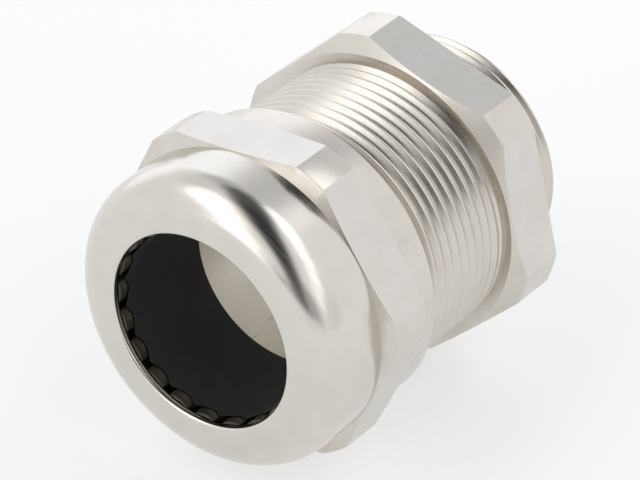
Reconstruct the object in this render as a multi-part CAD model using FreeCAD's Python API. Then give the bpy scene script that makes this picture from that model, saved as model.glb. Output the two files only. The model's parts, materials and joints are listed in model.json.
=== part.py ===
import FreeCAD, Part
import math
import os

Vec = FreeCAD.Vector

# Cable gland with an M40 x 1.5 entry thread, lying on its side.
# The screw axis is the Y axis. The entry thread points to +Y and the cap to -Y.
# The origin is the centre of the hexagon's seating face, which is the plane y = 0.
# Lengths along the axis are given as "forward", the distance from that face towards the cap.

# Cable passage
passage_r = 16.2            # clear bore through the body and the cap's mouth
seal_squeeze = 0.5          # the sealing ring's bore is this much smaller in radius

# Sealing ring and clamping insert, from the inside outwards
seal_wall = 1.9
seal_front_wall = 0.7       # the ring thins to this at its front edge
seal_gap = 0.15             # gap between the ring and the insert around it
insert_ring_wall = 2.15
insert_ring_length = 3.8
lamella_count = 20
lamella_wall = 1.45
lamella_length = 14.87
lamella_tip_wall = 0.35     # wall at the tip's front face
lamella_bevel_length = 4.8  # the tip is bevelled to run in the cap's cone
lamella_shoulder = 0.4      # step down from the back to the bevel's start
lamella_shoulder_length = 1.2
bulge_place = 0.52          # the bevel's middle corner, as a share of its length
bulge_height = 0.64         # and of its height
lamella_hook_length = 0.75  # the tip reaches inwards in front of the sealing ring
lamella_hook_gap = 0.1      # between that hook and the ring's front edge
lamella_side_gap = 0.15     # left between closed neighbours, on each side
root_gap = 0.35             # the thin root web that bends is left out as this gap
close_angle = 15.0          # the lamellae lean in by this much at full travel
travel_in = 5.0             # the cap's travel from rest to fully tight

# Body
insert_gap = 0.15           # radial gap between the insert and the body's mouth
mouth_wall = 1.5            # wall from the mouth to the joining thread's root
joining_depth = 1.3         # depth of the joining thread
mouth_depth = 5.0           # from the body's front end to the insert's seat
joining_length = 31.1       # joining thread, from the hexagon to the front end
hex_height = 9.3
step_width = 1.75           # flat ring between the thread and the hexagon's bevel
hex_cover = 0.4             # hexagon's flat beyond that flat ring
seat_width = 4.5            # least width of the seating face round the entry thread
corner_turn = 2.38          # turned corners stand this far beyond the flats
bevel_height = 1.3          # conical bevel at the hexagon's front
body_roll = 13.3            # turn of the body's hexagon about the axis, in degrees
lead_in = 0.8               # chamfer at the joining thread's front end

# Entry thread
entry_wall = 3.8            # from the passage to the entry thread's major radius
entry_length = 10.0
entry_chamfer = 1.0
bore_break = 0.5            # broken edge of the bore at the entry end

# Cap
thread_clearance = 0.1      # radial, between the two joining threads
cap_wall = 1.85
flat_step = 0.2             # the cap's flats stand this far beyond its collar
cap_corner_turn = 2.46
cap_roll = 35.7             # turn of the cap's hexagon about the axis, in degrees
lip_land = 0.45             # length of the mouth's plain land
lip_round = 0.45            # radius of the mouth's front edge
tip_setback = 1.18          # from the cap's front to the lamella tips
cone_angle = 40.0           # of the cap's inner cone from the axis
cone_clearance = 0.8        # radial, from the lamellae's back to the cap beyond the cone
dome_radius = 5.8
dome_length = 12.1          # from the cap's front to its hexagon
cap_bevel = 0.65
cap_hex_height = 8.6
collar_length = 5.4
collar_chamfer = 0.4
shoulder_gap = 1.9          # left between the cap's shoulder and the body at full travel
shoulder_height = 1.5

# Radii that follow
entry_r = passage_r + entry_wall
seal_bore_r = passage_r - seal_squeeze
seal_r = seal_bore_r + seal_wall
insert_bore_r = seal_r + seal_gap
insert_r = insert_bore_r + insert_ring_wall
mouth_r = insert_r + insert_gap
joining_r = mouth_r + mouth_wall + joining_depth
step_r = joining_r + step_width
body_half_flats = max(step_r + hex_cover, entry_r + seat_width)
cap_bore_r = joining_r + thread_clearance
collar_r = cap_bore_r + cap_wall
cap_half_flats = collar_r + flat_step
lamella_r = insert_bore_r + lamella_wall
hook_r = seal_bore_r + seal_gap

# Places along the axis that follow, measured forward from the seating face
body_front = hex_height + joining_length
seat = body_front - mouth_depth
insert_front = seat + insert_ring_length
root = insert_front + root_gap
tip = root + lamella_length
hook_back = tip - lamella_hook_length
seal_front = hook_back - lamella_hook_gap
bevel_back = tip - lamella_bevel_length
cap_front = tip + tip_setback
cap_back = cap_front - dome_length - cap_hex_height - collar_length

os.makedirs("parts", exist_ok=True)


def turned(outline):
    """Solid of revolution about the Y axis, from (forward, radius) corners."""
    points = [Vec(radius, -forward, 0) for forward, radius in outline]
    face = Part.Face(Part.makePolygon(points + points[:1]))
    return face.revolve(Vec(0, 0, 0), Vec(0, 1, 0), 360)


def turned_profile(edges):
    """Solid of revolution about the Y axis, from the edges of a closed outline."""
    face = Part.Face(Part.Wire(edges))
    return face.revolve(Vec(0, 0, 0), Vec(0, 1, 0), 360)


def at(forward, radius):
    return Vec(radius, -forward, 0)


def line(start, end):
    return Part.LineSegment(at(*start), at(*end)).toShape()


def arc(start, centre, end):
    """Quarter-like arc from start to end about centre, all (forward, radius)."""
    a = at(*start) - at(*centre)
    b = at(*end) - at(*centre)
    middle = at(*centre) + (a + b).normalize() * a.Length
    return Part.Arc(at(*start), middle, at(*end)).toShape()


def hexagon(half_flats, low, high, roll):
    """Hexagonal bar about the Y axis between two forward places; roll is a flat's angle."""
    corner = half_flats / math.cos(math.radians(30))
    points = []
    for k in range(7):
        angle = math.radians(roll + 30 + 60 * k)
        points.append(Vec(corner * math.cos(angle), -low, corner * math.sin(angle)))
    face = Part.Face(Part.makePolygon(points))
    return face.extrude(Vec(0, low - high, 0))


def make_body():
    corner_r = body_half_flats + corner_turn
    bar = hexagon(body_half_flats, 0, hex_height, body_roll)
    bevel_back = hex_height - bevel_height
    blank = turned([(0, 0), (0, corner_r), (bevel_back, corner_r),
                    (hex_height, step_r), (hex_height, 0)])
    head = bar.common(blank)
    neck = turned([(0, 0), (0, joining_r), (body_front - lead_in, joining_r),
                   (body_front, joining_r - lead_in), (body_front, 0)])
    spigot = turned([(hex_height - bevel_height, 0), (hex_height - bevel_height, entry_r),
                     (entry_chamfer - entry_length, entry_r),
                     (-entry_length, entry_r - entry_chamfer), (-entry_length, 0)])
    bore = turned([(body_front + 1, 0), (body_front + 1, mouth_r), (seat, mouth_r),
                   (seat, passage_r), (bore_break - entry_length, passage_r),
                   (-entry_length, passage_r + bore_break),
                   (-entry_length - 1, passage_r + bore_break), (-entry_length - 1, 0)])
    return head.fuse([neck, spigot]).cut(bore).removeSplitter()


def make_insert_ring():
    return turned([(seat, insert_bore_r), (seat, insert_r),
                   (insert_front, insert_r), (insert_front, insert_bore_r)])


def make_sealing_ring():
    front_r = seal_bore_r + seal_front_wall
    return turned([(seat, seal_bore_r), (seat, seal_r), (bevel_back, seal_r),
                   (seal_front, front_r), (seal_front, seal_bore_r)])


def lamella_outline():
    """Corners of a lamella in the plane through the axis, as (forward, radius)."""
    tip_r = hook_r + lamella_tip_wall
    shoulder_r = lamella_r - lamella_shoulder
    bulge = tip - bulge_place * lamella_bevel_length
    bulge_r = tip_r + bulge_height * (shoulder_r - tip_r)
    return [(root, insert_bore_r), (bevel_back, insert_bore_r),
            (hook_back, seal_bore_r + seal_front_wall + seal_gap), (hook_back, hook_r),
            (tip, hook_r), (tip, tip_r), (bulge, bulge_r), (bevel_back, shoulder_r),
            (bevel_back - lamella_shoulder_length, lamella_r), (root, lamella_r)]


def make_lamella(index):
    outline = lamella_outline()
    half_pitch = math.radians(180 / lamella_count)
    closed_r = hook_r - lamella_length * math.sin(math.radians(close_angle))
    tip_half = closed_r * math.tan(half_pitch) - lamella_side_gap
    root_half = insert_bore_r * math.tan(half_pitch) - lamella_side_gap
    points = [Vec(radius, -forward, -insert_r) for forward, radius in outline]
    side = Part.Face(Part.makePolygon(points + points[:1]))
    blade = side.extrude(Vec(0, 0, 2 * insert_r))
    plan = [Vec(0, -root, -root_half), Vec(0, -tip, -tip_half),
            Vec(0, -tip, tip_half), Vec(0, -root, root_half)]
    strip = Part.Face(Part.makePolygon(plan + plan[:1]))
    wedge = strip.extrude(Vec(2 * insert_r, 0, 0))
    lamella = blade.common(wedge)
    lamella.rotate(Vec(0, 0, 0), Vec(0, 1, 0), -360 / lamella_count * index)
    return lamella


def make_cap():
    corner_r = cap_half_flats + cap_corner_turn
    flats_front = cap_front - dome_length
    flats_back = flats_front - cap_hex_height
    bar = hexagon(cap_half_flats, flats_back, flats_front, cap_roll)
    blank = turned([(flats_back, 0), (flats_back, collar_r),
                    (flats_back + cap_bevel, corner_r), (flats_front - cap_bevel, corner_r),
                    (flats_front, collar_r), (flats_front, 0)])
    head = bar.common(blank)
    round_start = (cap_front - dome_radius, collar_r)
    round_end = (cap_front, collar_r - dome_radius)
    lip_start = (cap_front, passage_r + lip_round)
    lip_end = (cap_front - lip_round, passage_r)
    shell = turned_profile([
        line((cap_back, 0), (cap_back, collar_r - collar_chamfer)),
        line((cap_back, collar_r - collar_chamfer), (cap_back + collar_chamfer, collar_r)),
        line((cap_back + collar_chamfer, collar_r), round_start),
        arc(round_start, (round_start[0], round_end[1]), round_end),
        line(round_end, (cap_front, 0)),
        line((cap_front, 0), (cap_back, 0))])
    cone_front = cap_front - lip_round - lip_land
    beyond_r = lamella_r + cone_clearance
    cone_back = cone_front - (beyond_r - passage_r) / math.tan(math.radians(cone_angle))
    shoulder_back = body_front + travel_in + shoulder_gap
    hollow = turned_profile([
        line((cap_back - 1, 0), (cap_back - 1, cap_bore_r)),
        line((cap_back - 1, cap_bore_r), (shoulder_back, cap_bore_r)),
        line((shoulder_back, cap_bore_r), (shoulder_back + shoulder_height, beyond_r)),
        line((shoulder_back + shoulder_height, beyond_r), (cone_back, beyond_r)),
        line((cone_back, beyond_r), (cone_front, passage_r)),
        line((cone_front, passage_r), lip_end),
        arc(lip_end, (lip_end[0], lip_start[1]), lip_start),
        line(lip_start, (cap_front + 1, lip_start[1])),
        line((cap_front + 1, lip_start[1]), (cap_front + 1, 0)),
        line((cap_front + 1, 0), (cap_back - 1, 0))])
    return head.fuse(shell).cut(hollow).removeSplitter()


pieces = {
    "gland_body": make_body(),
    "insert_ring": make_insert_ring(),
    "sealing_ring": make_sealing_ring(),
    "cap": make_cap(),
}
for number in range(lamella_count):
    pieces[f"lamella_{number + 1:02d}"] = make_lamella(number)

for node, shape in pieces.items():
    shape.exportStep(f"parts/{node}.step")

print("cap front", cap_front, "cap back", cap_back, "body front", body_front)
print("joining r", joining_r, "collar r", collar_r, "flats", body_half_flats, cap_half_flats)
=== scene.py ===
import json
import math
import bmesh
import bpy
from mathutils import Matrix, Vector


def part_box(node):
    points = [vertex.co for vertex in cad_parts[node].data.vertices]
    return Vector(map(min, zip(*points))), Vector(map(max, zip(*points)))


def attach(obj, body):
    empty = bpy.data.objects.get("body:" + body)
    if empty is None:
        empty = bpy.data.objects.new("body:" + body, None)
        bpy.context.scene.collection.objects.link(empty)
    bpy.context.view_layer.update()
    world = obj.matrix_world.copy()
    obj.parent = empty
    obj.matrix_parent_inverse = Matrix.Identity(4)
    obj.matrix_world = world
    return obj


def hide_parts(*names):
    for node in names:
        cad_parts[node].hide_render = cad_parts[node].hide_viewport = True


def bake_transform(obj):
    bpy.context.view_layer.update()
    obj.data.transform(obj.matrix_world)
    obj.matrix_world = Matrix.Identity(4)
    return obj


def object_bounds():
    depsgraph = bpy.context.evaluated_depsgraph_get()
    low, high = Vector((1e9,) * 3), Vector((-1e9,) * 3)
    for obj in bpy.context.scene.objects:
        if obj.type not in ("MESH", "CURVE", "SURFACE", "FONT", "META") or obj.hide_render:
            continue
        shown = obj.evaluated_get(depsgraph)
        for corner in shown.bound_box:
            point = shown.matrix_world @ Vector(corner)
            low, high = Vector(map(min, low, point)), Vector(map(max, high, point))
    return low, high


for extra in ("Cube", "Light", "Camera"):
    if extra in bpy.data.objects:
        bpy.data.objects.remove(bpy.data.objects[extra])
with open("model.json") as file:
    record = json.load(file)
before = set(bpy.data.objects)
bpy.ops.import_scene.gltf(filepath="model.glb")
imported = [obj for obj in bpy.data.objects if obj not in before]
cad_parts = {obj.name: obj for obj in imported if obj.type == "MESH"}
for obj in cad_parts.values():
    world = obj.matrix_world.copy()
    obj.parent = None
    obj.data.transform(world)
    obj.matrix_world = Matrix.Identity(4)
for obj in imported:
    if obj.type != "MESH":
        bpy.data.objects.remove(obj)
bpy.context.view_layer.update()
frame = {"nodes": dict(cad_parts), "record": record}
mounts = {mount["name"]: mount for mount in frame["record"]["mounts"]}
mm = 0.001
axis = Vector((0, 1, 0))
turnSteps = 144   # segments round the axis
tiny = 2e-7       # in metres, for what counts as the same place

# Places along the axis and radii that the frame gives, in metres
capFront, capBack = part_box("cap")[0].y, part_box("cap")[1].y
bodyFront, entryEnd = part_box("gland_body")[0].y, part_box("gland_body")[1].y
ringFront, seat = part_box("insert_ring")[0].y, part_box("insert_ring")[1].y
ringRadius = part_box("insert_ring")[1].x
sealFront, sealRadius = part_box("sealing_ring")[0].y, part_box("sealing_ring")[1].x
fingerTip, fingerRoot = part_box("lamella_01")[0].y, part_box("lamella_01")[1].y
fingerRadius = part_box("lamella_01")[1].x
entryRadius = mounts["entry_thread"]["dims"]["r_mm"] * mm
boreRadius = mounts["cable_bore"]["dims"]["r_mm"] * mm
sealBore = mounts["cable_clamp"]["dims"]["r_mm"] * mm
fingerNodes = sorted(node for node in frame["nodes"] if node.startswith("lamella_"))
sectorAngle = math.tau / len(fingerNodes)
print("frame:", len(frame["nodes"]), "nodes,", len(fingerNodes), "lamellae")


# Outline helpers: outlines are (y, radius) points, in millimetres

def filletPoints(before, corner, after, radius, count):
    place = Vector(corner)
    toBefore, toAfter = (Vector(before) - place).normalized(), (Vector(after) - place).normalized()
    half = toBefore.angle(toAfter) / 2
    centre = place + (toBefore + toAfter).normalized() * radius / math.sin(half)
    start, end = place + toBefore * radius / math.tan(half), place + toAfter * radius / math.tan(half)
    sweep = (start - centre).angle_signed(end - centre)
    return [tuple(centre + Matrix.Rotation(-sweep * k / count, 2) @ (start - centre))
            for k in range(count + 1)]


# radii has the fillet's radius for each rounded corner, by the corner's place in the outline
def filleted(points, radii, count=4):
    out = []
    for k, point in enumerate(points):
        if k in radii:
            out += filletPoints(points[k - 1], point, points[(k + 1) % len(points)], radii[k], count)
        else:
            out.append(tuple(point))
    return out


# Mesh helpers, all working round the Y axis

def addOutline(bm, points, closed=False):
    verts = [bm.verts.new((radius * mm, y * mm, 0)) for y, radius in points]
    chain = verts + verts[:1] if closed else verts
    return verts + [bm.edges.new(pair) for pair in zip(chain, chain[1:])]


def allParts(bm):
    return bm.verts[:] + bm.edges[:] + bm.faces[:]


# An outline taken once round the axis
def turned(points, closed=False):
    bm = bmesh.new()
    bmesh.ops.spin(bm, geom=addOutline(bm, points, closed), cent=(0, 0, 0), axis=axis, dvec=(0, 0, 0),
                   angle=math.tau, steps=turnSteps, use_merge=True, use_duplicate=False)
    return bm


# A closed outline taken part of the way round, and left open at both ends
def swept(points, angle, steps):
    bm = bmesh.new()
    bmesh.ops.spin(bm, geom=addOutline(bm, points, True), cent=(0, 0, 0), axis=axis, dvec=(0, 0, 0),
                   angle=angle, steps=steps, use_merge=False, use_duplicate=False)
    return bm


def turnAbout(bm, angle):
    bmesh.ops.rotate(bm, verts=bm.verts, cent=(0, 0, 0), matrix=Matrix.Rotation(angle, 3, "Y"))


# Removes what lies beyond a plane, and returns the edges that the cut leaves
def cutAway(bm, point, normal):
    cut = bmesh.ops.bisect_plane(bm, geom=allParts(bm), dist=tiny, plane_co=point, plane_no=normal,
                                 clear_outer=True)["geom_cut"]
    return [edge for edge in cut if isinstance(edge, bmesh.types.BMEdge)]


# A thread's skin between two places; limit(y, radius) gives the radius that its ends are shaped to
def helix(outline, pitch, low, high, limit):
    spare = 1.5   # turns made beyond each place, and cut off again
    bm = bmesh.new()
    start = [(low - spare * pitch + y, radius) for y, radius in outline]
    bmesh.ops.spin(bm, geom=addOutline(bm, start), cent=(0, 0, 0), axis=axis,
                   dvec=(0, pitch * mm / turnSteps, 0), angle=math.tau,
                   steps=turnSteps, use_merge=False, use_duplicate=False)
    oneTurn = allParts(bm)
    for k in range(1, math.ceil((high - low) / pitch) + int(2 * spare)):
        copied = bmesh.ops.duplicate(bm, geom=oneTurn)["geom"]
        bmesh.ops.translate(bm, verts=[v for v in copied if isinstance(v, bmesh.types.BMVert)],
                            vec=(0, k * pitch * mm, 0))
    bmesh.ops.remove_doubles(bm, verts=bm.verts, dist=tiny)
    cutAway(bm, (0, high * mm, 0), axis)
    cutAway(bm, (0, low * mm, 0), -axis)
    for v in bm.verts:
        radius = math.hypot(v.co.x, v.co.z)
        scale = limit(v.co.y / mm, radius / mm) * mm / radius
        v.co.x, v.co.z = v.co.x * scale, v.co.z * scale
    return bm


# Joins a part into bm, with one place in the list of materials
def addPart(bm, part, index):
    for face in part.faces:
        face.material_index = index
    mesh = bpy.data.meshes.new("part")
    part.to_mesh(mesh)
    part.free()
    bm.from_mesh(mesh)
    bpy.data.meshes.remove(mesh)


# Fills the flat ring between the two open loops that lie at one place on the axis
def closeRing(bm, y, index):
    rim = [edge for edge in bm.edges
           if edge.is_boundary and all(abs(v.co.y - y * mm) < tiny for v in edge.verts)]
    made = bmesh.ops.triangle_fill(bm, edges=rim, use_beauty=True, normal=axis)["geom"]
    for face in made:
        if isinstance(face, bmesh.types.BMFace):
            face.material_index = index


# Six flats round the axis; roll is the angle of one flat's normal from +X towards +Z, in degrees
def cutFlats(bm, halfFlats, roll, index):
    for k in range(6):
        angle = math.radians(roll + 60 * k)
        normal = Vector((math.cos(angle), 0, math.sin(angle)))
        rim = cutAway(bm, normal * halfFlats * mm, normal)
        for face in bmesh.ops.edgeloop_fill(bm, edges=rim)["faces"]:
            face.material_index = index


# sharp is the angle, in degrees, past which an edge is shaded as an edge
def makePiece(name, bm, materials, body, nodes, sharp=22):
    bmesh.ops.remove_doubles(bm, verts=bm.verts, dist=tiny)
    bmesh.ops.recalc_face_normals(bm, faces=bm.faces)
    if bm.calc_volume(signed=True) < 0:
        bmesh.ops.reverse_faces(bm, faces=bm.faces)
    openEdges = sum(not edge.is_manifold for edge in bm.edges)
    if openEdges:
        print("open edges in", name, openEdges)
    mesh = bpy.data.meshes.new(name)
    bm.to_mesh(mesh)
    bm.free()
    for material in materials:
        mesh.materials.append(material)
    mesh.shade_smooth()
    mesh.set_sharp_from_angle(angle=math.radians(sharp))
    piece = bpy.data.objects.new(name, mesh)
    bpy.context.collection.objects.link(piece)
    if body:
        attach(piece, body)
    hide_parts(*nodes)
    return piece


# Materials: nickel over turned brass, moulded plastic and rubber

def newMaterial(name):
    material = bpy.data.materials.new(name)
    material.use_nodes = True
    nodes = material.node_tree.nodes
    return material, nodes, material.node_tree.links, nodes["Principled BSDF"]


def mathNode(nodes, links, kind, first, second):
    node = nodes.new("ShaderNodeMath")
    node.operation = kind
    for socket, value in zip(node.inputs, (first, second)):
        if isinstance(value, (int, float)):
            socket.default_value = value
        else:
            links.new(value, socket)
    return node.outputs[0]


def rangeNode(nodes, links, value, low, high, start=0.3, end=0.7):
    node = nodes.new("ShaderNodeMapRange")
    links.new(value, node.inputs["Value"])
    for name, number in (("From Min", start), ("From Max", end), ("To Min", low), ("To Max", high)):
        node.inputs[name].default_value = number
    return node.outputs[0]


def noiseNode(nodes, links, vector, scale, detail=3):
    node = nodes.new("ShaderNodeTexNoise")
    links.new(vector, node.inputs["Vector"])
    node.inputs["Scale"].default_value = scale
    node.inputs["Detail"].default_value = detail
    return node.outputs["Fac"]


# first and second are each a colour, or the output of another node
def mixColours(nodes, links, factor, first, second):
    node = nodes.new("ShaderNodeMix")
    node.data_type = "RGBA"
    links.new(factor, node.inputs["Factor"])
    for name, colour in (("A", first), ("B", second)):
        if isinstance(colour, tuple):
            node.inputs[name].default_value = (*colour, 1)
        else:
            links.new(colour, node.inputs[name])
    return node.outputs["Result"]


def objectCoords(nodes):
    return nodes.new("ShaderNodeTexCoord").outputs["Object"]


# Coordinates that draw a pattern out along the axis
def drawnOut(nodes, links, place, share):
    node = nodes.new("ShaderNodeMapping")
    node.inputs["Scale"].default_value = (1, share, 1)
    links.new(place, node.inputs["Vector"])
    return node.outputs[0]


# The radius and the place along the axis as one vector, for a pattern of rings
def latheCoords(nodes, links, place):
    flat = nodes.new("ShaderNodeVectorMath")
    flat.operation = "MULTIPLY"
    links.new(place, flat.inputs[0])
    flat.inputs[1].default_value = (1, 0, 1)
    length = nodes.new("ShaderNodeVectorMath")
    length.operation = "LENGTH"
    links.new(flat.outputs[0], length.inputs[0])
    split = nodes.new("ShaderNodeSeparateXYZ")
    links.new(place, split.inputs[0])
    join = nodes.new("ShaderNodeCombineXYZ")
    links.new(length.outputs["Value"], join.inputs["X"])
    links.new(split.outputs["Y"], join.inputs["Y"])
    return join.outputs[0]


# depth is in millimetres
def addBump(nodes, links, shader, height, strength, depth):
    bump = nodes.new("ShaderNodeBump")
    bump.inputs["Strength"].default_value = strength
    bump.inputs["Distance"].default_value = depth * mm
    links.new(height, bump.inputs["Height"])
    links.new(bump.outputs[0], shader.inputs["Normal"])


nickelLooks = {
    "dome": {"pale": (0.68, 0.65, 0.61), "deep": (0.65, 0.62, 0.575), "rough": (0.13, 0.25), "bump": 0.09},
    "turned": {"pale": (0.67, 0.64, 0.59), "deep": (0.63, 0.59, 0.54), "rough": (0.20, 0.30), "bump": 0.04},
    "flat": {"pale": (0.68, 0.66, 0.63), "deep": (0.64, 0.62, 0.58), "rough": (0.26, 0.36), "bump": 0.04},
    "thread": {"pale": (0.67, 0.64, 0.59), "deep": (0.63, 0.59, 0.54), "rough": (0.20, 0.30), "bump": 0.05},
    "bore": {"pale": (0.73, 0.70, 0.645), "deep": (0.68, 0.65, 0.59), "rough": (0.28, 0.38), "bump": 0.04},
}
grainLooks = {"rings": 4200, "streaks": 5000, "streakShare": 0.06, "clouds": 220, "specks": 2600,
              "grainWeight": 0.7, "speckWeight": 0.3, "depth": 0.05}
scratchLooks = {"colour": (0.24, 0.21, 0.17), "scale": 700, "share": 0.03, "strength": 0.85,
                "start": 0.705, "end": 0.74}


# Plated metal: lathe rings round the axis, or fine streaks along it on flats and bores
def nickel(kind):
    looks, grains, marks = nickelLooks[kind], grainLooks, scratchLooks
    material, nodes, links, shader = newMaterial("nickel" + kind.capitalize())
    place = objectCoords(nodes)
    if kind in ("flat", "bore"):
        along = drawnOut(nodes, links, place, grains["streakShare"])
        grain = noiseNode(nodes, links, along, grains["streaks"], detail=4)
    else:
        grain = noiseNode(nodes, links, latheCoords(nodes, links, place), grains["rings"], detail=4)
    clouds = noiseNode(nodes, links, place, grains["clouds"])
    specks = noiseNode(nodes, links, place, grains["specks"], detail=2)
    colour = mixColours(nodes, links, rangeNode(nodes, links, clouds, 0, 1), looks["deep"], looks["pale"])
    if kind == "bore":
        along = drawnOut(nodes, links, place, marks["share"])
        fine = noiseNode(nodes, links, along, marks["scale"], detail=1)
        scratches = rangeNode(nodes, links, fine, 0, marks["strength"], marks["start"], marks["end"])
        colour = mixColours(nodes, links, scratches, colour, marks["colour"])
    links.new(colour, shader.inputs["Base Color"])
    blended = mathNode(nodes, links, "ADD",
                       mathNode(nodes, links, "MULTIPLY", grain, grains["grainWeight"]),
                       mathNode(nodes, links, "MULTIPLY", specks, grains["speckWeight"]))
    links.new(rangeNode(nodes, links, blended, *looks["rough"]), shader.inputs["Roughness"])
    addBump(nodes, links, shader, blended, looks["bump"], grains["depth"])
    shader.inputs["Metallic"].default_value = 1
    return material


plasticLooks = {"pale": (0.064, 0.054, 0.036), "deep": (0.036, 0.031, 0.021), "rough": (0.20, 0.30),
                "clouds": 160, "grain": 1800, "bump": 0.1, "depth": 0.04}
rubberLooks = {"pale": (0.024, 0.023, 0.022), "deep": (0.017, 0.017, 0.016), "rough": (0.55, 0.7),
               "clouds": 160, "grain": 3500, "bump": 0.25, "depth": 0.04}


def moulded(name, looks):
    material, nodes, links, shader = newMaterial(name)
    place = objectCoords(nodes)
    clouds = noiseNode(nodes, links, place, looks["clouds"])
    grain = noiseNode(nodes, links, place, looks["grain"])
    colour = mixColours(nodes, links, rangeNode(nodes, links, clouds, 0, 1), looks["deep"], looks["pale"])
    links.new(colour, shader.inputs["Base Color"])
    links.new(rangeNode(nodes, links, grain, *looks["rough"]), shader.inputs["Roughness"])
    addBump(nodes, links, shader, grain, looks["bump"], looks["depth"])
    return material


domeNickel, turnedNickel, flatNickel, threadNickel, boreNickel = (
    nickel(kind) for kind in ("dome", "turned", "flat", "thread", "bore"))
insertPlastic = moulded("insertPlastic", plasticLooks)
sealRubber = moulded("sealRubber", rubberLooks)
print("materials made")


# Threads: one pitch of the outline, starting in the middle of the root

joining = {"pitch": 2.0, "crest": 22.85, "root": 21.80, "crestFlat": 0.30, "rootFlat": 0.30, "leadIn": 0.8}
entry = {"pitch": 1.5, "crest": entryRadius / mm, "root": 19.34, "crestFlat": 0.16, "rootFlat": 0.18,
         "leadIn": 1.0}
threadRounds = {"root": 0.12, "crest": 0.14}


def threadOutline(thread):
    pitch, crest, root = thread["pitch"], thread["crest"], thread["root"]
    crestFlat, halfRoot = thread["crestFlat"], thread["rootFlat"] / 2
    flank = (pitch - crestFlat - thread["rootFlat"]) / 2
    corners = [(0, root), (halfRoot, root), (halfRoot + flank, crest),
               (halfRoot + flank + crestFlat, crest), (pitch - halfRoot, root), (pitch, root)]
    return filleted(corners, {1: threadRounds["root"], 2: threadRounds["crest"],
                              3: threadRounds["crest"], 4: threadRounds["root"]})


# Body: entry thread, hexagon and joining thread in one turned piece, with a stepped bore

bodySizes = {"front": bodyFront / mm, "ring": -9.3, "ringRadius": 24.6, "bevelBack": -8.0,
             "cornerRadius": 27.38, "cornerRound": 0.15, "halfFlats": 25.0, "roll": 13.3,
             "mouthRadius": 20.05, "mouthRound": 0.3, "seat": seat / mm, "seatRound": 0.2,
             "bore": boreRadius / mm, "end": entryEnd / mm, "boreBreak": 0.5, "breakRound": 0.1,
             "overCrest": (0.4, 0.6), "underRoot": (0.5, 0.4)}   # past the threads, at front and rear


def makeBody():
    s, j, e = bodySizes, joining, entry
    turning, flats, threads, bore = range(4)   # places in the list of materials
    hexagon = [(s["ring"], j["crest"] + s["overCrest"][0]), (s["ring"], s["ringRadius"]),
               (s["bevelBack"], s["cornerRadius"]), (0, s["cornerRadius"]),
               (0, e["crest"] + s["overCrest"][1])]
    bm = turned(filleted(hexagon, {3: s["cornerRound"]}, count=3))
    cutFlats(bm, s["halfFlats"], s["roll"], flats)
    breakStart = (s["end"] - s["boreBreak"], s["bore"])
    inside = [(s["front"], j["root"] - s["underRoot"][0]), (s["front"], s["mouthRadius"]),
              (s["seat"], s["mouthRadius"]), (s["seat"], s["bore"]), breakStart]
    addPart(bm, turned(filleted(inside, {1: s["mouthRound"], 2: s["seatRound"]}, count=3)), bore)
    rear = [breakStart, (s["end"], s["bore"] + s["boreBreak"]), (s["end"], e["root"] - s["underRoot"][1])]
    addPart(bm, turned(filleted(rear, {1: s["breakRound"]}, count=3)), turning)

    def joiningLimit(y, radius):   # a run-out at the hexagon, and a lead-in at the front
        return min(max(radius, j["crest"] - (s["ring"] - y)), j["crest"] - j["leadIn"] + (y - s["front"]))

    def entryLimit(y, radius):   # a lead-in at the rear
        return min(radius, e["crest"] - e["leadIn"] + s["end"] - y)

    addPart(bm, helix(threadOutline(j), j["pitch"], s["front"], s["ring"], joiningLimit), threads)
    addPart(bm, helix(threadOutline(e), e["pitch"], 0, s["end"], entryLimit), threads)
    for y in (s["front"], s["ring"], 0, s["end"]):
        closeRing(bm, y, turning)
    makePiece("glandBody", bm, [turnedNickel, flatNickel, threadNickel, boreNickel],
              "gland_body", ["gland_body"])


makeBody()
print("body made")


# Cap: domed clamping nut with a hexagon, a collar and an inner thread that fits the joining thread

capSizes = {"front": capFront / mm, "back": capBack / mm, "collarRadius": 24.8, "collarChamfer": 0.4,
            "backEdge": 0.2, "hexBack": -34.9, "hexFront": -43.5, "cornerRadius": 27.46, "bevel": 0.65,
            "edgeRound": 0.12, "halfFlats": 25.0, "roll": 35.7, "domeRadius": 5.8, "domeSteps": 24,
            "lip": boreRadius / mm, "lipRound": 0.5, "lipLand": 0.4, "lipSteps": 8, "coneAngle": 40,
            "coneRadius": 20.0, "shoulderFront": -48.8, "shoulderBack": -47.3, "boreRadius": 22.95,
            "threadFront": -46.4, "clearance": 0.1, "countersink": 23.5}


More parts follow.
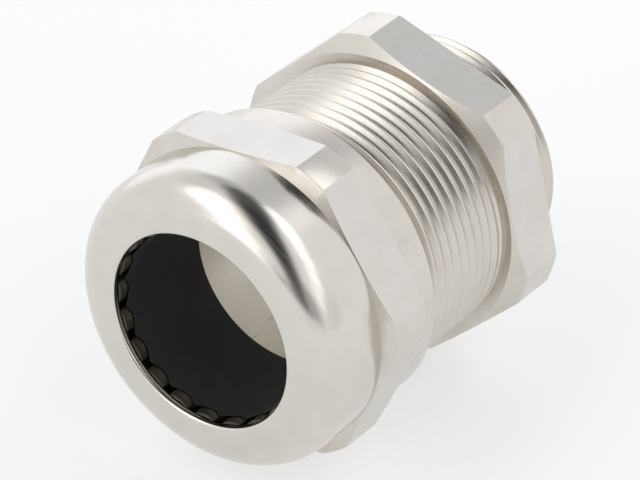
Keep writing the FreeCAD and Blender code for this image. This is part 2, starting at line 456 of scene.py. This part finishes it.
def makeCap():
    s, j = capSizes, joining
    dome, turning, flats, bore, threads = range(5)   # places in the list of materials
    gap = 0.01   # keeps a fillet's end off the next corner, in millimetres
    domeBack = s["front"] + s["domeRadius"]
    coneStart = s["front"] + s["lipRound"] + s["lipLand"]
    coneEnd = coneStart + (s["coneRadius"] - s["lip"]) / math.tan(math.radians(s["coneAngle"]))
    outside = [(s["back"], s["countersink"] + s["backEdge"]),
               (s["back"], s["collarRadius"] - s["collarChamfer"]),
               (s["back"] - s["collarChamfer"], s["collarRadius"]), (s["hexBack"], s["collarRadius"]),
               (s["hexBack"] - s["bevel"], s["cornerRadius"]),
               (s["hexFront"] + s["bevel"], s["cornerRadius"]), (s["hexFront"], s["collarRadius"]),
               (domeBack, s["collarRadius"])]
    bm = turned(filleted(outside, {k: s["edgeRound"] for k in (2, 4, 5)}, count=3))
    cutFlats(bm, s["halfFlats"], s["roll"], flats)
    for face in bm.faces:
        if face.material_index == dome and face.calc_center_median().y >= s["hexFront"] * mm:
            face.material_index = turning
    skin = [(domeBack, s["collarRadius"]), (s["front"], s["collarRadius"]),
            (s["front"], s["lip"] + s["lipRound"])]
    rounded = filletPoints(*skin, s["domeRadius"] - gap, s["domeSteps"])
    addPart(bm, turned(skin[:1] + rounded + skin[2:]), dome)
    mouth = [(s["front"], s["lip"] + s["lipRound"]), (s["front"], s["lip"]), (coneStart, s["lip"])]
    rounded = filletPoints(*mouth, s["lipRound"] - gap, s["lipSteps"])
    addPart(bm, turned(mouth[:1] + rounded + mouth[2:]), dome)
    addPart(bm, turned([mouth[-1], (coneEnd, s["coneRadius"]), (s["shoulderFront"], s["coneRadius"]),
                        (s["shoulderBack"], s["boreRadius"]), (s["threadFront"], s["boreRadius"])]), bore)
    inner = [(y, radius + s["clearance"]) for y, radius in threadOutline(j)]

    def innerLimit(y, radius):   # a countersink at the back
        return max(radius, s["countersink"] - (s["back"] - y))

    addPart(bm, helix(inner, j["pitch"], s["threadFront"], s["back"], innerLimit), threads)
    for y in (s["threadFront"], s["back"]):
        closeRing(bm, y, turning)
    makePiece("clampingCap", bm, [domeNickel, turnedNickel, flatNickel, boreNickel, threadNickel],
              "cap", ["cap"])


makeCap()
print("cap made")


# Clamping insert: a ring with flexible fingers, round a rubber sleeve

fingerSizes = {"root": fingerRoot / mm, "tip": fingerTip / mm, "radius": fingerRadius / mm, "inner": 17.75,
               "hookRadius": 15.76, "hookSide": 0.42, "hookDepth": 0.8, "hookLength": 1.8, "tipWall": 0.46,
               "bevelLength": 4.8, "bulge": 2.52, "bulgeRadius": 17.88, "shoulder": 0.4,
               "shoulderLength": 1.2, "rootHalf": 2.66, "tipHalf": 1.74, "tipCorner": 0.3,
               "edge": 0.08, "nose": 0.3, "bulgeRound": 2.5, "shoulderRound": 1.2, "backRound": 1.5,
               "blankAngle": math.radians(26), "blankSteps": 16}


def makeFinger(index, node):
    s = fingerSizes
    hookBack, bevelBack = s["tip"] + s["hookLength"], s["tip"] + s["bevelLength"]
    tipRadius = s["hookRadius"] + s["tipWall"]
    outline = [(s["root"], s["inner"]), (bevelBack, s["inner"]),
               (hookBack, s["hookRadius"] + s["hookDepth"]), (hookBack, s["hookRadius"]),
               (s["tip"], s["hookRadius"]), (s["tip"], tipRadius),
               (s["tip"] + s["bulge"], s["bulgeRadius"]), (bevelBack, s["radius"] - s["shoulder"]),
               (bevelBack + s["shoulderLength"], s["radius"]), (s["root"], s["radius"])]
    rounds = {3: s["edge"], 4: s["nose"], 5: s["edge"], 6: s["bulgeRound"], 7: s["shoulderRound"],
              8: s["backRound"]}
    bm = swept(filleted(outline, rounds), s["blankAngle"], s["blankSteps"])
    turnAbout(bm, -s["blankAngle"] / 2)
    slope = (s["rootHalf"] - s["tipHalf"]) / (s["root"] - s["tip"])
    for side in (1, -1):
        normal = Vector((0, -slope, side)).normalized()
        rim = cutAway(bm, (0, s["root"] * mm, side * s["rootHalf"] * mm), normal)
        bmesh.ops.edgeloop_fill(bm, edges=rim)
    reach, slack = 0.3, 0.05   # how near to the tip and to the sides a corner's edge lies, in millimetres
    corners = [edge for edge in bm.edges
               if max(v.co.y for v in edge.verts) < (s["tip"] + reach) * mm
               and min(abs(v.co.z) for v in edge.verts) > (s["tipHalf"] - slack) * mm
               and abs(edge.verts[0].co.x - edge.verts[1].co.x) > slack * mm]
    bmesh.ops.bevel(bm, geom=corners, offset=s["tipCorner"] * mm, affect="EDGES", segments=4, profile=0.5,
                    material=-1, clamp_overlap=True)
    for v in bm.verts:   # the hook's inner face is rounded across, so its sides stand back from the axis
        near = min(max((tipRadius - math.hypot(v.co.x, v.co.z) / mm) / s["tipWall"], 0), 1)
        v.co.x += near * s["hookSide"] * mm * (v.co.z / mm / s["tipHalf"]) ** 2
    turnAbout(bm, -sectorAngle * index)
    makePiece(f"finger{index + 1:02d}", bm, [insertPlastic], node, [node], sharp=40)


insertSizes = {"inner": 17.75, "outer": ringRadius / mm, "seat": seat / mm, "front": ringFront / mm,
               "edge": 0.3}


def makeInsertRing():
    s = insertSizes
    outline = [(s["seat"], s["inner"]), (s["seat"], s["outer"]), (s["front"], s["outer"]),
               (s["front"], s["inner"])]
    bm = turned(filleted(outline, {k: s["edge"] for k in range(4)}, count=3), True)
    makePiece("insertRing", bm, [insertPlastic], "insert", ["insert_ring"])


sleeveSizes = {"inner": sealBore / mm, "outer": sealRadius / mm, "seat": seat / mm, "front": sealFront / mm,
               "lipInner": 15.55, "lipOuter": 15.7, "lipBack": fingerTip / mm + 1.92,
               "bevelBack": fingerTip / mm + 4.8, "bevelRound": 1.5, "edge": 0.05, "wave": 1.05,
               "waveLength": 3.0, "bendLength": 3, "rows": 13}


# One of the sleeve's sectors, with the finger round it
def makeSleeveSector(index):
    s = sleeveSizes
    outline = [(s["seat"], s["inner"]), (s["seat"], s["outer"]), (s["bevelBack"], s["outer"]),
               (s["lipBack"], s["lipOuter"]), (s["front"], s["lipOuter"]), (s["front"], s["lipInner"]),
               (s["bevelBack"], s["inner"])]
    outline = filleted(outline, {2: s["bevelRound"], 4: s["edge"], 5: s["edge"]})
    bm = swept(outline, sectorAngle, turnSteps // len(fingerNodes) + 1)
    for k in range(1, s["rows"]):
        place = s["seat"] + (s["front"] - s["seat"]) * k / s["rows"]
        bmesh.ops.bisect_plane(bm, geom=allParts(bm), dist=tiny, plane_co=(0, place * mm, 0), plane_no=axis)
    for v in bm.verts:   # the front edge is set back in the sector's middle, where the finger's hook is
        across = math.atan2(-v.co.z, v.co.x) / sectorAngle * 2 - 1
        near = max(1 - (v.co.y / mm - s["front"]) / s["waveLength"], 0)
        v.co.y += s["wave"] * mm * near * (1 - across * across)
    bmesh.ops.holes_fill(bm, edges=[edge for edge in bm.edges if edge.is_boundary], sides=0)
    turnAbout(bm, -sectorAngle * (index + 0.5))
    piece = makePiece(f"sleeve{index + 1:02d}", bm, [sealRubber], None, ["sealing_ring"],
                      sharp=40)
    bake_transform(piece)


for index, node in enumerate(fingerNodes):
    makeFinger(index, node)
    makeSleeveSector(index)
makeInsertRing()
print("insert and sleeve made")


# Stage: pale floor, white studio and the camera

cameraSizes = {"location": (313.8, -446.9, 348.4), "azimuth": 36.66, "elevation": 33.51, "lens": 231.24,
               "sensor": 36}


def makeCamera():
    s = cameraSizes
    data = bpy.data.cameras.new("camera")
    data.lens, data.sensor_width = s["lens"], s["sensor"]
    camera = bpy.data.objects.new("camera", data)
    camera.location = Vector(s["location"]) * mm
    camera.rotation_euler = (math.radians(90 - s["elevation"]), 0, math.radians(s["azimuth"]))
    bpy.context.collection.objects.link(camera)
    bpy.context.scene.camera = camera


# half and drop are in metres
floorSizes = {"half": 1.5, "drop": 0.0002, "pale": (0.46, 0.46, 0.46), "deepShare": 0.98, "clouds": 3,
              "rough": 0.9, "glow": 0.55}


def makeFloor():
    s = floorSizes
    bm = bmesh.new()
    bmesh.ops.create_grid(bm, x_segments=1, y_segments=1, size=s["half"])
    bmesh.ops.translate(bm, verts=bm.verts, vec=(0, 0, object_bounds()[0].z - s["drop"]))
    mesh = bpy.data.meshes.new("floor")
    bm.to_mesh(mesh)
    bm.free()
    material, nodes, links, shader = newMaterial("paleFloor")
    clouds = noiseNode(nodes, links, objectCoords(nodes), s["clouds"], detail=2)
    deep = tuple(s["deepShare"] * part for part in s["pale"])
    links.new(mixColours(nodes, links, clouds, s["pale"], deep), shader.inputs["Base Color"])
    shader.inputs["Roughness"].default_value = s["rough"]
    shader.inputs["Emission Color"].default_value = (1, 1, 1, 1)
    shader.inputs["Emission Strength"].default_value = s["glow"]
    mesh.materials.append(material)
    floor = bpy.data.objects.new("floor", mesh)
    bpy.context.collection.objects.link(floor)


# The studio that the metal mirrors: white all round, with round cards that are brighter or darker.
# Each card has an azimuth from +Y towards +X, an elevation, a half angle, a soft edge, a brightness,
# and a coolness that takes red away and adds blue. A later card lies over an earlier one.
studioCards = [
    (-40, -8, 22, 10, 1.32, 0.02), (-66, 6, 16, 10, 1.36, 0.03), (-38, 22, 12, 8, 1.42, 0.05),
    (85, -2, 20, 12, 0.88, 0), (-45, 56, 15, 8, 0.62, 0.03), (-5, 50, 14, 7, 0.69, 0.04),
    (-85, 52, 12, 8, 0.85, 0), (-137, 48, 14, 8, 1.9, 0), (-155, 38, 13, 8, 1.9, 0),
    (-166, 20, 10, 7, 1.9, 0), (-164, 4, 8, 6, 1.8, 0), (28, 58, 11, 6, 1.8, 0), (52, 57, 11, 6, 1.9, 0),
    (76, 47, 10, 6, 1.7, 0), (93, 32, 9, 6, 1.6, 0), (108, 20, 8, 6, 1.4, 0),
    (140, 5, 17, 8, 0.50, 0), (148, -14, 13, 8, 0.38, 0), (172, -2, 7, 5, 0.5, 0),
    (150, 90, 16, 8, 0.05, 0), (-32, 72, 12, 8, 0.10, 0), (150, 72, 15, 7, 0.03, 0),
    (149, 54, 15, 7, 0.02, 0), (149, 36, 12, 7, 0.03, 0), (152, 20, 9, 6, 0.08, 0),
    (155, 5, 9, 6, 0.12, 0), (156, -12, 8, 6, 0.14, 0)]


# How far a direction lies on a card: 1 inside its soft edge, 0 outside it
def cardMask(nodes, links, direction, azimuth, elevation, half, soft):
    turn, lift = math.radians(azimuth), math.radians(elevation)
    towards = nodes.new("ShaderNodeVectorMath")
    towards.operation = "DOT_PRODUCT"
    links.new(direction, towards.inputs[0])
    towards.inputs[1].default_value = (math.sin(turn) * math.cos(lift), math.cos(turn) * math.cos(lift),
                                       math.sin(lift))
    edge = nodes.new("ShaderNodeMapRange")
    edge.interpolation_type = "SMOOTHSTEP"
    links.new(towards.outputs["Value"], edge.inputs["Value"])
    edge.inputs["From Min"].default_value = math.cos(math.radians(half + soft))
    edge.inputs["From Max"].default_value = math.cos(math.radians(max(half - soft, 0)))
    return edge.outputs[0]


def makeWorld():
    world = bpy.data.worlds.new("studio")
    world.use_nodes = True
    nodes, links = world.node_tree.nodes, world.node_tree.links
    direction = nodes.new("ShaderNodeTexCoord").outputs["Generated"]
    white = (1, 1, 1)
    colour = white
    for azimuth, elevation, half, soft, level, cool in studioCards:
        mask = cardMask(nodes, links, direction, azimuth, elevation, half, soft)
        card = (level * (1 - cool / 2), level, level * (1 + cool))
        colour = mixColours(nodes, links, mask, colour, card)
    isCameraRay = nodes.new("ShaderNodeLightPath").outputs["Is Camera Ray"]
    seen = mixColours(nodes, links, isCameraRay, colour, white)
    links.new(seen, nodes["Background"].inputs["Color"])
    bpy.context.scene.world = world


bpy.context.scene.view_settings.view_transform = "Standard"
makeCamera()
makeFloor()
makeWorld()
print("stage made")
